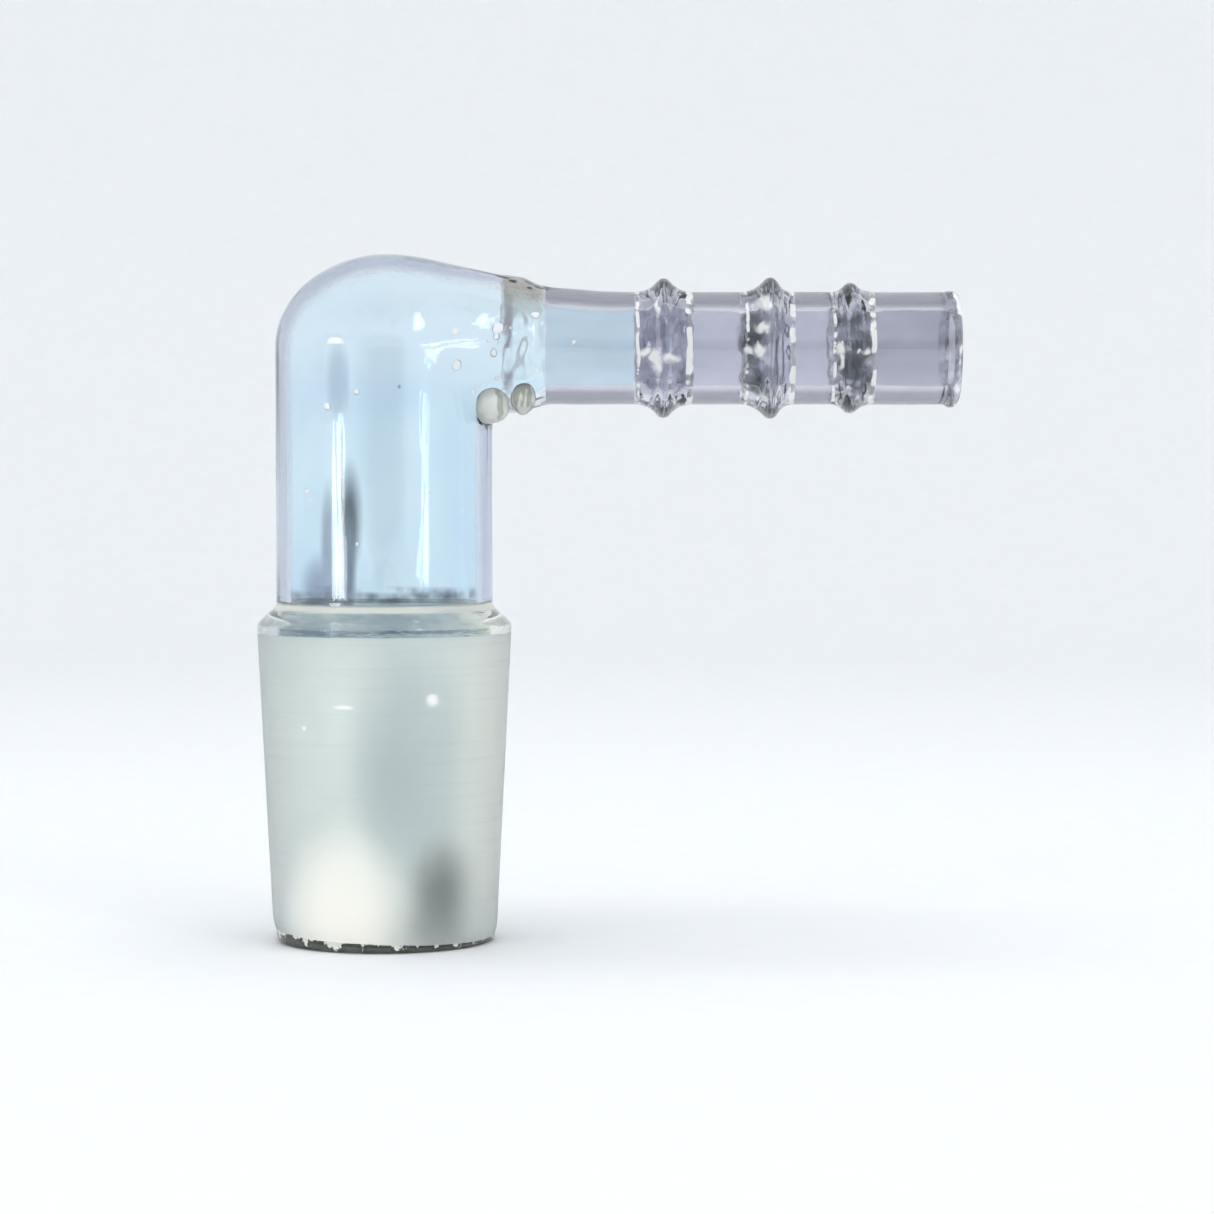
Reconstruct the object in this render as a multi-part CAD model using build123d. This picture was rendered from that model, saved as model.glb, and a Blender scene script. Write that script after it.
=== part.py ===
"""Right-angle glass hose adapter: ground taper cone, domed body tube, ridged side arm.

Millimetres. The origin is the centre of the cone's lower end face, +Z runs up the cone and
body tube, and the side arm points along +X. Every piece is one stretch of the lampworked
glass, and neighbours meet face to face where the glass was fused.
"""

from build123d import *
import os
from math import atan2, cos, hypot, pi, sin

# Ground cone: 19/22 standard taper, 1 in 10 on the diameter
CONE_LARGE_D = 18.8
CONE_LENGTH = 22.0
CONE_TAPER = 0.1
CONE_WALL = 1.48

# Clear fire-polished rim below the ground zone
RIM_HEIGHT = 0.9
RIM_FOOT_R = 7.6
RIM_MOUTH_R = 7.15
RIM_MOUTH_DEPTH = 0.35

# Clear shoulder from the cone down to the body tube's diameter
SHOULDER_LAND = 0.7
SHOULDER_HEIGHT = 2.2
SHOULDER_EDGE_R = 0.6
SHOULDER_FOOT_R = 0.3

# Body tube, its domed closed end and the bend
BODY_OD = 16.0
BODY_WALL = 1.0
BODY_TUBE_TOP = 37.0
DOME_SPRING_Z = 44.0
DOME_RISE = 6.7
DOME_KNUCKLE_SHARE = 0.69
DOME_WALL = 1.2
CROTCH_FILLET_R = 0.9

# Side arm: 8 mm class tubing with a 1.35 mm wall
ARM_Z = 43.9
ARM_R = 4.15
ARM_BORE_R = 2.8
ARM_END_X = 42.46

# Horn drawn out of the body tube, and the weld that joins the arm to it
HORN_START_X = 2.0
HORN_START_R = 6.5
HORN_MID_X = 5.8
HORN_MID_R = 5.95
HORN_WALL = 1.3
SEAL_START_X = 9.0
SEAL_START_R = 5.25
SEAL_MID_X = 10.5
SEAL_MID_R = 5.1
SEAL_END_X = 12.0
SEAL_END_R = 4.55
ROOT_MID_X = 14.5
ROOT_MID_R = 4.3

# Hose ridges: crest position, crest radius, reach of the flank on the body side and tip side
CREST_ROUND_R = 0.6
HOSE_RIDGES = [
    (20.66, 5.15, 2.15, 2.15),
    (28.56, 5.20, 2.30, 1.70),
    (34.45, 4.82, 1.50, 1.70),
]

# Fire-polished lip at the open end of the arm
LIP_LENGTH = 1.16
LIP_OUTER_ROUND_R = 0.75
LIP_INNER_ROUND_R = 0.45

# Drops of spare weld glass left in the crotch: centre and radius
WELD_BEADS = [
    ((8.14, -3.20, 39.85), 1.28),
    ((10.36, -3.05, 40.20), 1.10),
]

# Levels worked out from the dimensions above
BODY_R = BODY_OD / 2
BODY_BORE_R = BODY_R - BODY_WALL
CONE_BASE_Z = RIM_HEIGHT
CONE_TOP_Z = CONE_BASE_Z + CONE_LENGTH
SHOULDER_TOP_Z = CONE_TOP_Z + SHOULDER_HEIGHT
LIP_START_X = ARM_END_X - LIP_LENGTH
ARM_AXIS = Axis((0, 0, ARM_Z), (1, 0, 0))


def cone_r(z):
    """Outer radius of the ground cone at height z."""
    return CONE_LARGE_D / 2 - (CONE_TOP_Z - z) * CONE_TAPER / 2


def cone_bore_r(z):
    """Inner radius of the cone at height z."""
    return cone_r(z) - CONE_WALL


def turn_body(edges):
    """Revolve an outline of (radius, z) edges about the cone and body axis."""
    return revolve(Plane.XZ * make_face(edges), Axis.Z)


def on_arm(x, r):
    """A point of an arm outline: distance along the arm, and radius about the arm's axis."""
    return (x, ARM_Z + r)


def turn_arm(edges):
    """Revolve an outline of on_arm edges about the arm's axis."""
    return revolve(Plane.XZ * make_face(edges), ARM_AXIS)


def ring(outer_r, inner_r, low_z, high_z):
    """A length of the upright tube."""
    height = high_z - low_z
    tube = Cylinder(outer_r, height) - Cylinder(inner_r, height)
    return Pos(0, 0, (low_z + high_z) / 2) * tube


def cone_rim():
    """Rounded lower edge of the cone: flat foot ring, fire-polished inside and out."""
    outer_r = cone_r(CONE_BASE_Z)
    bore_r = cone_bore_r(CONE_BASE_Z)
    outside = EllipticalCenterArc(
        (RIM_FOOT_R, RIM_HEIGHT), outer_r - RIM_FOOT_R, RIM_HEIGHT, start_angle=270, arc_size=90
    )
    foot = Line((RIM_FOOT_R, 0), (RIM_MOUTH_R, 0))
    mouth = EllipticalCenterArc(
        (RIM_MOUTH_R, RIM_MOUTH_DEPTH), RIM_MOUTH_R - bore_r, RIM_MOUTH_DEPTH,
        start_angle=180, arc_size=90,
    )
    bore = Line((bore_r, RIM_MOUTH_DEPTH), (bore_r, CONE_BASE_Z))
    top = Line((bore_r, CONE_BASE_Z), (outer_r, CONE_BASE_Z))
    return turn_body([outside, foot, mouth, bore, top])


def ground_cone():
    """The ground-glass taper that seals in a socket."""
    outline = Polyline(
        (cone_bore_r(CONE_BASE_Z), CONE_BASE_Z),
        (cone_r(CONE_BASE_Z), CONE_BASE_Z),
        (cone_r(CONE_TOP_Z), CONE_TOP_Z),
        (cone_bore_r(CONE_TOP_Z), CONE_TOP_Z),
        close=True,
    )
    return turn_body(outline.edges())


def cone_shoulder():
    """Clear glass that steps in from the cone's large end to the body tube."""
    outer_r = cone_r(CONE_TOP_Z)
    bore_r = cone_bore_r(CONE_TOP_Z)
    land_z = CONE_TOP_Z + SHOULDER_LAND
    slope_z = SHOULDER_TOP_Z - SHOULDER_FOOT_R
    outside = FilletPolyline(
        (outer_r, CONE_TOP_Z), (outer_r, land_z), (BODY_R, slope_z), (BODY_R, SHOULDER_TOP_Z),
        radius=[SHOULDER_EDGE_R, SHOULDER_FOOT_R],
    )
    inside = Polyline(
        (BODY_R, SHOULDER_TOP_Z), (BODY_BORE_R, SHOULDER_TOP_Z), (BODY_BORE_R, slope_z),
        (bore_r, land_z), (bore_r, CONE_TOP_Z), (outer_r, CONE_TOP_Z),
    )
    return turn_body(outside.edges() + inside.edges())


def domed_tube(radius, rise):
    """The top of the upright tube as a full solid, closed by a dished end.

    A knuckle arc leaves the tube wall and rolls tangentially into a flatter crown arc,
    which the dome's rise fixes. The half turn puts the seam away from the horn.
    """
    knuckle_r = DOME_KNUCKLE_SHARE * radius
    knuckle_x = radius - knuckle_r
    crown_r = (rise**2 + knuckle_x**2 - knuckle_r**2) / (2 * (rise - knuckle_r))
    crown_z = DOME_SPRING_Z + rise - crown_r
    meet = atan2(DOME_SPRING_Z - crown_z, knuckle_x)

    def knuckle(angle):
        return (knuckle_x + knuckle_r * cos(angle), DOME_SPRING_Z + knuckle_r * sin(angle))

    def crown(angle):
        return (crown_r * cos(angle), crown_z + crown_r * sin(angle))

    top = crown(pi / 2)
    outline = [
        ThreePointArc(knuckle(0), knuckle(meet / 2), knuckle(meet)),
        ThreePointArc(knuckle(meet), crown((meet + pi / 2) / 2), top),
    ]
    outline += Polyline(
        top, (0, BODY_TUBE_TOP), (radius, BODY_TUBE_TOP), (radius, DOME_SPRING_Z)
    ).edges()
    return Rot(0, 0, 180) * turn_body(outline)


def arm_stretch(start, middle, end, inset):
    """A full solid of the arm, curved outline through three (x, r) points, less an inset.

    The quarter turn puts the seam on the arm's side, clear of the crown and the crotch.
    """
    curve = ThreePointArc(*[on_arm(x, r - inset) for x, r in (start, middle, end)])
    core = Polyline(
        on_arm(end[0], end[1] - inset), on_arm(end[0], 0),
        on_arm(start[0], 0), on_arm(start[0], start[1] - inset),
    )
    return turn_arm(curve.edges() + core.edges()).rotate(ARM_AXIS, 90)


def horn(inset):
    """The side horn that carries the body glass out to the weld."""
    start = (HORN_START_X, HORN_START_R)
    middle = (HORN_MID_X, HORN_MID_R)
    return arm_stretch(start, middle, (SEAL_START_X, SEAL_START_R), inset)


def bend_outside():
    """Outer skin of the bend as a full solid, with the tight crotch rounded."""
    skin = domed_tube(BODY_R, DOME_RISE) + horn(0)
    crotch = Vector(BODY_R, 0, ARM_Z - SEAL_START_R)
    meeting_line = min(skin.edges(), key=lambda edge: (edge.position_at(0.5) - crotch).length)
    return fillet(meeting_line, CROTCH_FILLET_R)


def elbow_bend(skin):
    """Domed closed end of the body tube with the horn for the arm, hollow throughout."""
    hollow = domed_tube(BODY_BORE_R, DOME_RISE - DOME_WALL) + horn(HORN_WALL)
    return skin - hollow


def arm_section(outside, inside):
    """A hollow piece of the arm between an outer and an inner run of edges."""
    first = outside.edges().sort_by(Axis.X)[0].vertices().sort_by(Axis.X)[0]
    last = outside.edges().sort_by(Axis.X)[-1].vertices().sort_by(Axis.X)[-1]
    near = inside.edges().sort_by(Axis.X)[0].vertices().sort_by(Axis.X)[0]
    far = inside.edges().sort_by(Axis.X)[-1].vertices().sort_by(Axis.X)[-1]
    ends = [Line(first, near), Line(last, far)]
    return turn_arm(outside.edges() + inside.edges() + ends)


def arm_seal():
    """The weld ring: swollen outside, bore narrowing from the horn to the arm's bore."""
    outside = ThreePointArc(
        on_arm(SEAL_START_X, SEAL_START_R), on_arm(SEAL_MID_X, SEAL_MID_R),
        on_arm(SEAL_END_X, SEAL_END_R),
    )
    inside = Line(on_arm(SEAL_START_X, SEAL_START_R - HORN_WALL), on_arm(SEAL_END_X, ARM_BORE_R))
    return arm_section(outside, inside)


def arm_bore(start_x, end_x):
    """The arm's straight bore line between two stations."""
    return Line(on_arm(start_x, ARM_BORE_R), on_arm(end_x, ARM_BORE_R))


def seal_solid():
    """The weld ring without its bore, as the outer skin the beads sit on."""
    middle = (SEAL_MID_X, SEAL_MID_R)
    start = (SEAL_START_X, SEAL_START_R)
    return arm_stretch(start, middle, (SEAL_END_X, SEAL_END_R), 0)


def arm_root(end_x):
    """Arm tube between the weld and the first ridge, drawn down to its own diameter."""
    outside = ThreePointArc(
        on_arm(SEAL_END_X, SEAL_END_R), on_arm(ROOT_MID_X, ROOT_MID_R), on_arm(end_x, ARM_R)
    )
    return arm_section(outside, arm_bore(SEAL_END_X, end_x))


def arm_tube(start_x, end_x):
    """A plain length of the arm."""
    outside = Line(on_arm(start_x, ARM_R), on_arm(end_x, ARM_R))
    return arm_section(outside, arm_bore(start_x, end_x))


def flank(crest_x, crest_r, reach, side):
    """One concave flank of a ridge and the half of its round crest on that side.

    The flank arc leaves the tube tangentially at the given reach and runs tangentially
    into the crest arc, which fixes the flank's radius.
    """
    height = crest_r - ARM_R
    flank_r = (reach**2 + height**2 - 2 * height * CREST_ROUND_R) / (2 * height)
    run = reach / (flank_r + CREST_ROUND_R)
    rise = (flank_r - height + CREST_ROUND_R) / (flank_r + CREST_ROUND_R)
    crest_centre_r = crest_r - CREST_ROUND_R

    def crest_point(run_part, rise_part):
        size = hypot(run_part, rise_part)
        x = crest_x + side * CREST_ROUND_R * run_part / size
        return on_arm(x, crest_centre_r + CREST_ROUND_R * rise_part / size)

    def flank_point(run_part, rise_part):
        size = hypot(run_part, rise_part)
        x = crest_x + side * (reach - flank_r * run_part / size)
        return on_arm(x, ARM_R + flank_r - flank_r * rise_part / size)

    crest = ThreePointArc(
        on_arm(crest_x, crest_r), crest_point(run, 1 + rise), crest_point(run, rise)
    )
    slope = ThreePointArc(
        crest_point(run, rise), flank_point(run, 1 + rise), on_arm(crest_x + side * reach, ARM_R)
    )
    return crest.edges() + slope.edges()


def hose_ridge(crest_x, crest_r, body_reach, tip_reach):
    """One raised ridge that grips the hose."""
    outside = flank(crest_x, crest_r, body_reach, -1) + flank(crest_x, crest_r, tip_reach, 1)
    return arm_section(outside, arm_bore(crest_x - body_reach, crest_x + tip_reach))


def tip_lip():
    """Open end of the arm, melted round outside and inside."""
    block = arm_tube(LIP_START_X, ARM_END_X)
    end_face = block.faces().sort_by(Axis.X)[-1]
    inner_rim, outer_rim = end_face.edges().sort_by(lambda edge: edge.radius)
    rounded = fillet(inner_rim, LIP_INNER_ROUND_R)
    outer_rim = rounded.edges().filter_by(GeomType.CIRCLE).sort_by(Axis.X)[-1]
    return fillet(outer_rim, LIP_OUTER_ROUND_R)


def weld_bead(centre, radius, skin):
    """A drop of spare glass sitting on the outside of the weld."""
    return Pos(*centre) * Sphere(radius) - skin


def save(name, piece):
    """Write one piece to its own file."""
    piece.label = name
    export_step(piece, f"parts/{name}.step")


def main():
    os.makedirs("parts", exist_ok=True)
    skin = bend_outside()
    save("cone_rim", cone_rim())
    save("ground_cone", ground_cone())
    save("cone_shoulder", cone_shoulder())
    save("body_tube", ring(BODY_R, BODY_BORE_R, SHOULDER_TOP_Z, BODY_TUBE_TOP))
    save("elbow_bend", elbow_bend(skin))
    save("arm_seal", arm_seal())

    weld_skin = skin + seal_solid()
    for number, (centre, radius) in enumerate(WELD_BEADS, start=1):
        save(f"weld_bead_{number}", weld_bead(centre, radius, weld_skin))

    ridge_starts = [crest_x - body_reach for crest_x, _, body_reach, _ in HOSE_RIDGES]
    ridge_ends = [crest_x + tip_reach for crest_x, _, _, tip_reach in HOSE_RIDGES]
    save("arm_root", arm_root(ridge_starts[0]))
    for number, ridge in enumerate(HOSE_RIDGES, start=1):
        save(f"hose_ridge_{number}", hose_ridge(*ridge))
    for number, (start_x, end_x) in enumerate(zip(ridge_ends, ridge_starts[1:]), start=1):
        save(f"arm_span_{number}", arm_tube(start_x, end_x))
    save("arm_tip", arm_tube(ridge_ends[-1], LIP_START_X))
    save("tip_lip", tip_lip())


main()
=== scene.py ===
import math
import random

import bmesh
import bpy
import numpy as np
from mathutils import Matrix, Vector, noise


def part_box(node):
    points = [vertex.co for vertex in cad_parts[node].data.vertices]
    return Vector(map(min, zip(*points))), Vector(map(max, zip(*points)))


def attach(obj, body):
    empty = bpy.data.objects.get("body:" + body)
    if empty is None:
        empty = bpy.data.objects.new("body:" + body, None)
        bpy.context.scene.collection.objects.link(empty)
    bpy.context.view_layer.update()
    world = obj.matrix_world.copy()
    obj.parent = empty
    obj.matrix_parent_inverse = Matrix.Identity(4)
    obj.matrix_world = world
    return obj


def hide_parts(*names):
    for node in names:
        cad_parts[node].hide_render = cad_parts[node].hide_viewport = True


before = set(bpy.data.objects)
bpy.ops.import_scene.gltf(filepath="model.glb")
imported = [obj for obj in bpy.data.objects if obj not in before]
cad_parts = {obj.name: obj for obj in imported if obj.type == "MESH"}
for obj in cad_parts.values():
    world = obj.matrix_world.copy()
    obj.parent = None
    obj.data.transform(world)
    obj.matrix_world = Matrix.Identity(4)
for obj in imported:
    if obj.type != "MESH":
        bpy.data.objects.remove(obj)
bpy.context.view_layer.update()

MM = 0.001

# A right-angle hose adapter in flame-worked borosilicate glass. Shape code works in
# millimetres in the CAD frame: cone axis on Z, side arm along +X.


def box_mm(node):
    """Lowest and highest corner of a CAD node in millimetres."""
    low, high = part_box(node)
    return [v / MM for v in low], [v / MM for v in high]


# ---------------------------------------------------------------- sizes from the frame

cone_low, cone_high = box_mm("ground_cone")
tube_low, tube_high = box_mm("body_tube")
seal_low, seal_high = box_mm("arm_seal")
tip_low, tip_high = box_mm("arm_tip")
lip_low, lip_high = box_mm("tip_lip")

CONE_TOP_R = cone_high[0]
CONE_FOOT_R = box_mm("cone_rim")[1][0]
TUBE_R = tube_high[0]
ARM_Z = (tip_low[2] + tip_high[2]) / 2
ARM_R = (tip_high[2] - tip_low[2]) / 2
TIP_X = lip_high[0]
DOME_TOP = box_mm("elbow_bend")[1][2]
RIDGES = []      # start, end and crest radius of each hose ridge
for number in (1, 2, 3):
    low, high = box_mm(f"hose_ridge_{number}")
    RIDGES.append((low[0], high[0], (high[2] - low[2]) / 2))

# ---------------------------------------------------------------- sizes listed here, in mm

CONE_WALL = 1.48
TUBE_WALL = 1.0
DOME_WALL = 1.15
ARM_WALL = 1.35

RIM_MOUTH_R = 7.3
RIM_ROUND = 0.62
RIM_MOUTH_ROUND = 0.45
RIM_LINE_Z = 0.7         # where the grinding stops
RIM_SLANT = 0.3          # how far that line tilts
RIM_RAGGED = 0.1
CONE_DRAWN_IN = 0.22
LAND_STEP = 0.02         # the clear land stands this far out from the ground zone
LAND_HEIGHT = 0.42
SHOULDER_ROUND = 0.6
# The shoulder's foot on the tube: how far out from the tube's skin and below its lower end.
SHOULDER_FOOT = [(0.16, 0.35), (0.07, 0.2), (0.02, 0.08), (0.0, 0.0)]

DOME_SPRING_Z = 44.0
BEND_START_Z = 35.5
CROTCH_PIVOT = (seal_low[0], 38.2)
HORN_RISE = 0.25         # middle of the horn above the arm's axis
# How wide the crease between dome and horn is filled: in the crotch, and what the crown adds.
CREASE_FILL = (1.5, 1.7)
BORE_CREASE_FILL = (2.2, 1.2)

CREST_SHARE = [0.5, 0.575, 0.47]
CREST_ROUND = 0.62
GROOVE_DEPTH = [0.35, 0.55, 0.6]
GROOVE_SHARE = 0.36

LIP_FLARE = 0.07
LIP_SAG = 0.16
LIP_MOUTH_ROUND = 0.4

AROUND = 144             # points round each loop of the skin

# The side horn, from inside the body to the first ridge: distance along the arm, height of
# its crown and of its belly. It sags from the dome into the weld and runs out to the tube.
HORN_LINE = [
    (0.0, 48.9, 39.5),
    (4.4, 49.3, 39.3),
    (6.6, 49.45, 39.2),
    (8.4, 49.35, 39.15),
    (10.2, 49.15, 39.22),
    (11.1, 48.74, 39.5),
    (12.2, 48.44, 39.74),
    (14.0, 48.28, 39.76),
    (16.0, 48.11, 39.76),
    (18.6, ARM_Z + ARM_R, ARM_Z - ARM_R),
]
# The same stretch of the bore: distance along the arm and radius.
BORE_LINE = [(0.0, 3.8), (4.4, 4.0), (8.4, 3.95), (10.2, 3.65), (12.2, 3.0), (14.0, 2.85), (18.6, 2.8)]


def smooth_through(points, x):
    """Smooth curve through (x, value) points, level past both ends."""
    xs = np.array([p[0] for p in points])
    ys = np.array([p[1] for p in points])
    slopes = np.gradient(ys, xs)
    x = np.clip(x, xs[0], xs[-1])
    i = np.clip(np.searchsorted(xs, x) - 1, 0, len(xs) - 2)
    step = xs[i + 1] - xs[i]
    t = (x - xs[i]) / step
    rise = ys[i + 1] - ys[i]
    ease = t * t * (3 - 2 * t)
    # cubic Hermite: the eased rise plus what the slopes at both ends add
    swing = t * (1 - t) * step * ((1 - t) * slopes[i] - t * slopes[i + 1])
    return ys[i] + rise * ease + swing


def soft_union(a, b, reach):
    """Smaller of two distances, with the crease between them filled over a reach."""
    close = np.maximum(reach - np.abs(a - b), 0.0) / reach
    return np.minimum(a, b) - close * close * reach / 4


def smooth_step(low, high, v):
    """Eased change from 0 at low to 1 at high."""
    t = np.clip((v - low) / (high - low), 0, 1)
    return t * t * (3 - 2 * t)


def domed_tube(p, radius, rise):
    """Signed distance, near the wall, to the upright tube with its closed end."""
    x, y, z = p
    up = np.maximum(z - DOME_SPRING_Z, 0) / rise
    return (np.sqrt((x * x + y * y) / radius**2 + up * up) - 1) * radius


def side_horn(p, centre, radius):
    """Signed distance to the horn along the arm, closed by a round end inside the body."""
    x, y, z = p
    return np.sqrt(y * y + (z - centre) ** 2 + np.minimum(x - 1, 0) ** 2) - radius


def crease_fill(fill, z):
    """Width of the filled crease at a height."""
    in_crotch, crown_adds = fill
    return in_crotch + crown_adds * smooth_step(39, 47, z)


def bend_outside(p):
    """Signed distance to the outer skin of the bend: sharp in the crotch, well filled above."""
    crown = smooth_through([(x, up) for x, up, _ in HORN_LINE], p[0])
    belly = smooth_through([(x, down) for x, _, down in HORN_LINE], p[0])
    horn = side_horn(p, (crown + belly) / 2, (crown - belly) / 2)
    tube = domed_tube(p, TUBE_R, DOME_TOP - DOME_SPRING_Z)
    return soft_union(tube, horn, crease_fill(CREASE_FILL, p[2]))


def bend_inside(p):
    """The same for the bore."""
    crown = smooth_through([(x, up) for x, up, _ in HORN_LINE], p[0])
    belly = smooth_through([(x, down) for x, _, down in HORN_LINE], p[0])
    horn = side_horn(p, (crown + belly) / 2, smooth_through(BORE_LINE, p[0]))
    tube = domed_tube(p, TUBE_R - TUBE_WALL, DOME_TOP - DOME_WALL - DOME_SPRING_Z)
    return soft_union(tube, horn, crease_fill(BORE_CREASE_FILL, p[2]))


ANGLES = np.arange(AROUND) * 2 * math.pi / AROUND


def cast_ring(skin, centre, toward):
    """One closed loop of the skin in the plane of Y and toward, found by rays from centre."""
    centre = np.array(centre, float)
    toward = np.array(toward, float)
    rays = np.cos(ANGLES)[:, None] * toward + np.sin(ANGLES)[:, None] * np.array([0.0, 1.0, 0.0])
    steps = np.arange(0.2, 16, 0.2)
    # the first step outside brackets the skin on each ray, then the gap is halved to a fine point
    at = centre[None, None] + rays[:, None] * steps[None, :, None]
    outside = skin(np.moveaxis(at, -1, 0)) > 0
    first = np.argmax(outside, axis=1)
    low, high = steps[np.maximum(first - 1, 0)], steps[first]
    for _ in range(24):
        mid = (low + high) / 2
        value = skin((centre + rays * mid[:, None]).T)
        high = np.where(value > 0, mid, high)
        low = np.where(value > 0, low, mid)
    return centre + rays * mid[:, None]


def upright_ring(radius, z):
    """One loop round the cone's axis; radius and height may change round it."""
    radius = np.broadcast_to(radius, ANGLES.shape)
    z = np.broadcast_to(z, ANGLES.shape)
    return np.stack([radius * np.cos(ANGLES), radius * np.sin(ANGLES), z], axis=1)


def arm_ring(x, radius):
    """One loop round the arm's axis, starting underneath as the cast loops do."""
    return np.stack(
        [np.full(AROUND, x), radius * np.sin(ANGLES), ARM_Z - radius * np.cos(ANGLES)], axis=1
    )


def arc(centre, radius, start, end, count):
    """Points of an arc, angles in degrees."""
    return [
        (centre[0] + radius * math.cos(math.radians(a)), centre[1] + radius * math.sin(math.radians(a)))
        for a in np.linspace(start, end, count)
    ]


# ---------------------------------------------------------------- skins of the glass


def rim_line(z):
    """Lift of the slanting, slightly ragged line where the grinding stops, fading with height."""
    fade = smooth_step(0, RIM_LINE_Z, z) * (1 - smooth_step(RIM_LINE_Z, 3.5, z))
    wander = [noise.noise(Vector((3 * math.cos(a), 3 * math.sin(a), 7.0))) for a in ANGLES]
    return fade * (RIM_RAGGED * np.array(wander) - RIM_SLANT * np.cos(ANGLES))


def taper_r(z):
    """Radius of the ground taper at a height."""
    slope = (CONE_TOP_R - CONE_FOOT_R) / (cone_high[2] - cone_low[2])
    return CONE_TOP_R - (cone_high[2] - z) * slope


def cone_outer_r(z):
    """Cone radius at a height, drawn in a little over the last 2 mm above the rim."""
    return taper_r(z) - CONE_DRAWN_IN * (1 - smooth_step(0.2, 2.2, z)) ** 2


def cone_inner_r(z):
    return taper_r(z) - CONE_WALL


def slanted(radius, z):
    return upright_ring(radius, z + rim_line(z))


def rim_outside():
    """Fire-polished foot: flat ring, then a quarter round up to the ground line."""
    top_r = cone_outer_r(RIM_LINE_Z)
    corner = arc((0, 0), 1, -90, 0, 10)
    rings = [upright_ring(RIM_MOUTH_R + 0.1, 0.0)]
    for across, up in corner:
        r = top_r - RIM_ROUND * (1 - across)
        rings.append(slanted(r, RIM_LINE_Z * (1 + up)))
    return rings


def rim_inside():
    """Round mouth of the bore, from the foot up to the ground line."""
    bore = cone_inner_r(RIM_LINE_Z)
    rings = []
    for across, up in arc((0, 0), 1, -80, 0, 8):
        r = bore + (RIM_MOUTH_R - bore) * (1 - across)
        rings.append(slanted(r, RIM_MOUTH_ROUND * (1 + up)))
    rings.append(slanted(bore, RIM_LINE_Z))
    return rings


def cone_runs():
    """Ground zone, with closer loops where the slanting line fades out."""
    heights = np.concatenate([np.linspace(RIM_LINE_Z, 3.7, 13)[1:], np.linspace(4.3, cone_high[2], 32)])
    outside = [slanted(cone_outer_r(z), z) for z in heights]
    inside = [slanted(cone_inner_r(z), z) for z in heights]
    return outside, inside


def shoulder_runs():
    """Clear land, rolled edge and slope from the cone's large end in to the tube."""
    z0, top = cone_high[2], tube_low[2]
    land_r = CONE_TOP_R + LAND_STEP
    land = [(land_r, z0 + 0.15), (land_r, z0 + 0.35)]
    edge = arc((land_r - SHOULDER_ROUND, z0 + LAND_HEIGHT), SHOULDER_ROUND, 0, 48, 8)
    foot = [(TUBE_R + out, top - below) for out, below in SHOULDER_FOOT]
    run_r, run_z = edge[-1]
    foot_r, foot_z = foot[0]
    slope = [(run_r + (foot_r - run_r) * t, run_z + (foot_z - run_z) * t) for t in (0.2, 0.4, 0.6, 0.8)]
    outside = [upright_ring(r, z) for r, z in land + edge + slope + foot]

    bore = cone_inner_r(z0)
    narrow = TUBE_R - TUBE_WALL
    inside = []
    for t in np.linspace(0, 1, 14)[1:]:
        ease = smooth_step(0.12, 0.95, t)
        inside.append(upright_ring(bore + (narrow - bore) * ease, z0 + (top - z0) * t))
    return outside, inside


def tube_runs():
    """Plain tube, then the first loops that feel the crotch above."""
    plain = np.linspace(tube_low[2], BEND_START_Z, 17)[1:]
    outside = [upright_ring(TUBE_R, z) for z in plain]
    inside = [upright_ring(TUBE_R - TUBE_WALL, z) for z in plain]
    for z in np.linspace(BEND_START_Z, tube_high[2], 4)[1:]:
        outside.append(cast_ring(bend_outside, (0, 0, z), (1, 0, 0)))
        inside.append(cast_ring(bend_inside, (0, 0, z), (1, 0, 0)))
    return outside, inside


def bend_runs():
    """From the tube, round the crotch in a fan of planes, to the weld."""
    pivot_x, pivot_z = CROTCH_PIVOT
    outside, inside = [], []
    for z in np.linspace(tube_high[2], pivot_z, 4)[1:]:
        outside.append(cast_ring(bend_outside, (0, 0, z), (1, 0, 0)))
        inside.append(cast_ring(bend_inside, (0, 0, z), (1, 0, 0)))
    arm_offset = ARM_Z + HORN_RISE - pivot_z
    for turn in np.linspace(0, math.pi / 2, 73)[1:]:
        away = (-math.cos(turn), 0, math.sin(turn))
        reach = pivot_x + (arm_offset - pivot_x) * smooth_step(0, math.pi / 2, turn)
        centre = (pivot_x + away[0] * reach, 0, pivot_z + away[2] * reach)
        toward = (-away[0], 0, -away[2])
        outside.append(cast_ring(bend_outside, centre, toward))
        inside.append(cast_ring(bend_inside, centre, toward))
    return outside, inside


def horn_runs(start_x, end_x, step):
    """Loops square to the arm, through the weld and along the arm's root."""
    outside, inside = [], []
    count = max(2, round((end_x - start_x) / step))
    for x in np.linspace(start_x, end_x, count + 1)[1:]:
        centre = (x, 0, ARM_Z + HORN_RISE * (1 - smooth_step(9, 13, x)))
        outside.append(cast_ring(bend_outside, centre, (0, 0, -1)))
        inside.append(cast_ring(bend_inside, centre, (0, 0, -1)))
    return outside, inside


def ridge_height(offset, height, reach):
    """Round crest running tangentially into a concave flank that meets the tube flat."""
    flank = (reach**2 + height**2 - 2 * height * CREST_ROUND) / (2 * height)
    meet = reach * CREST_ROUND / (flank + CREST_ROUND)
    if offset >= reach:
        return 0.0
    if offset > meet:
        return flank - math.sqrt(flank**2 - (reach - offset) ** 2)
    return height - CREST_ROUND + math.sqrt(CREST_ROUND**2 - offset**2)


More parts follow.
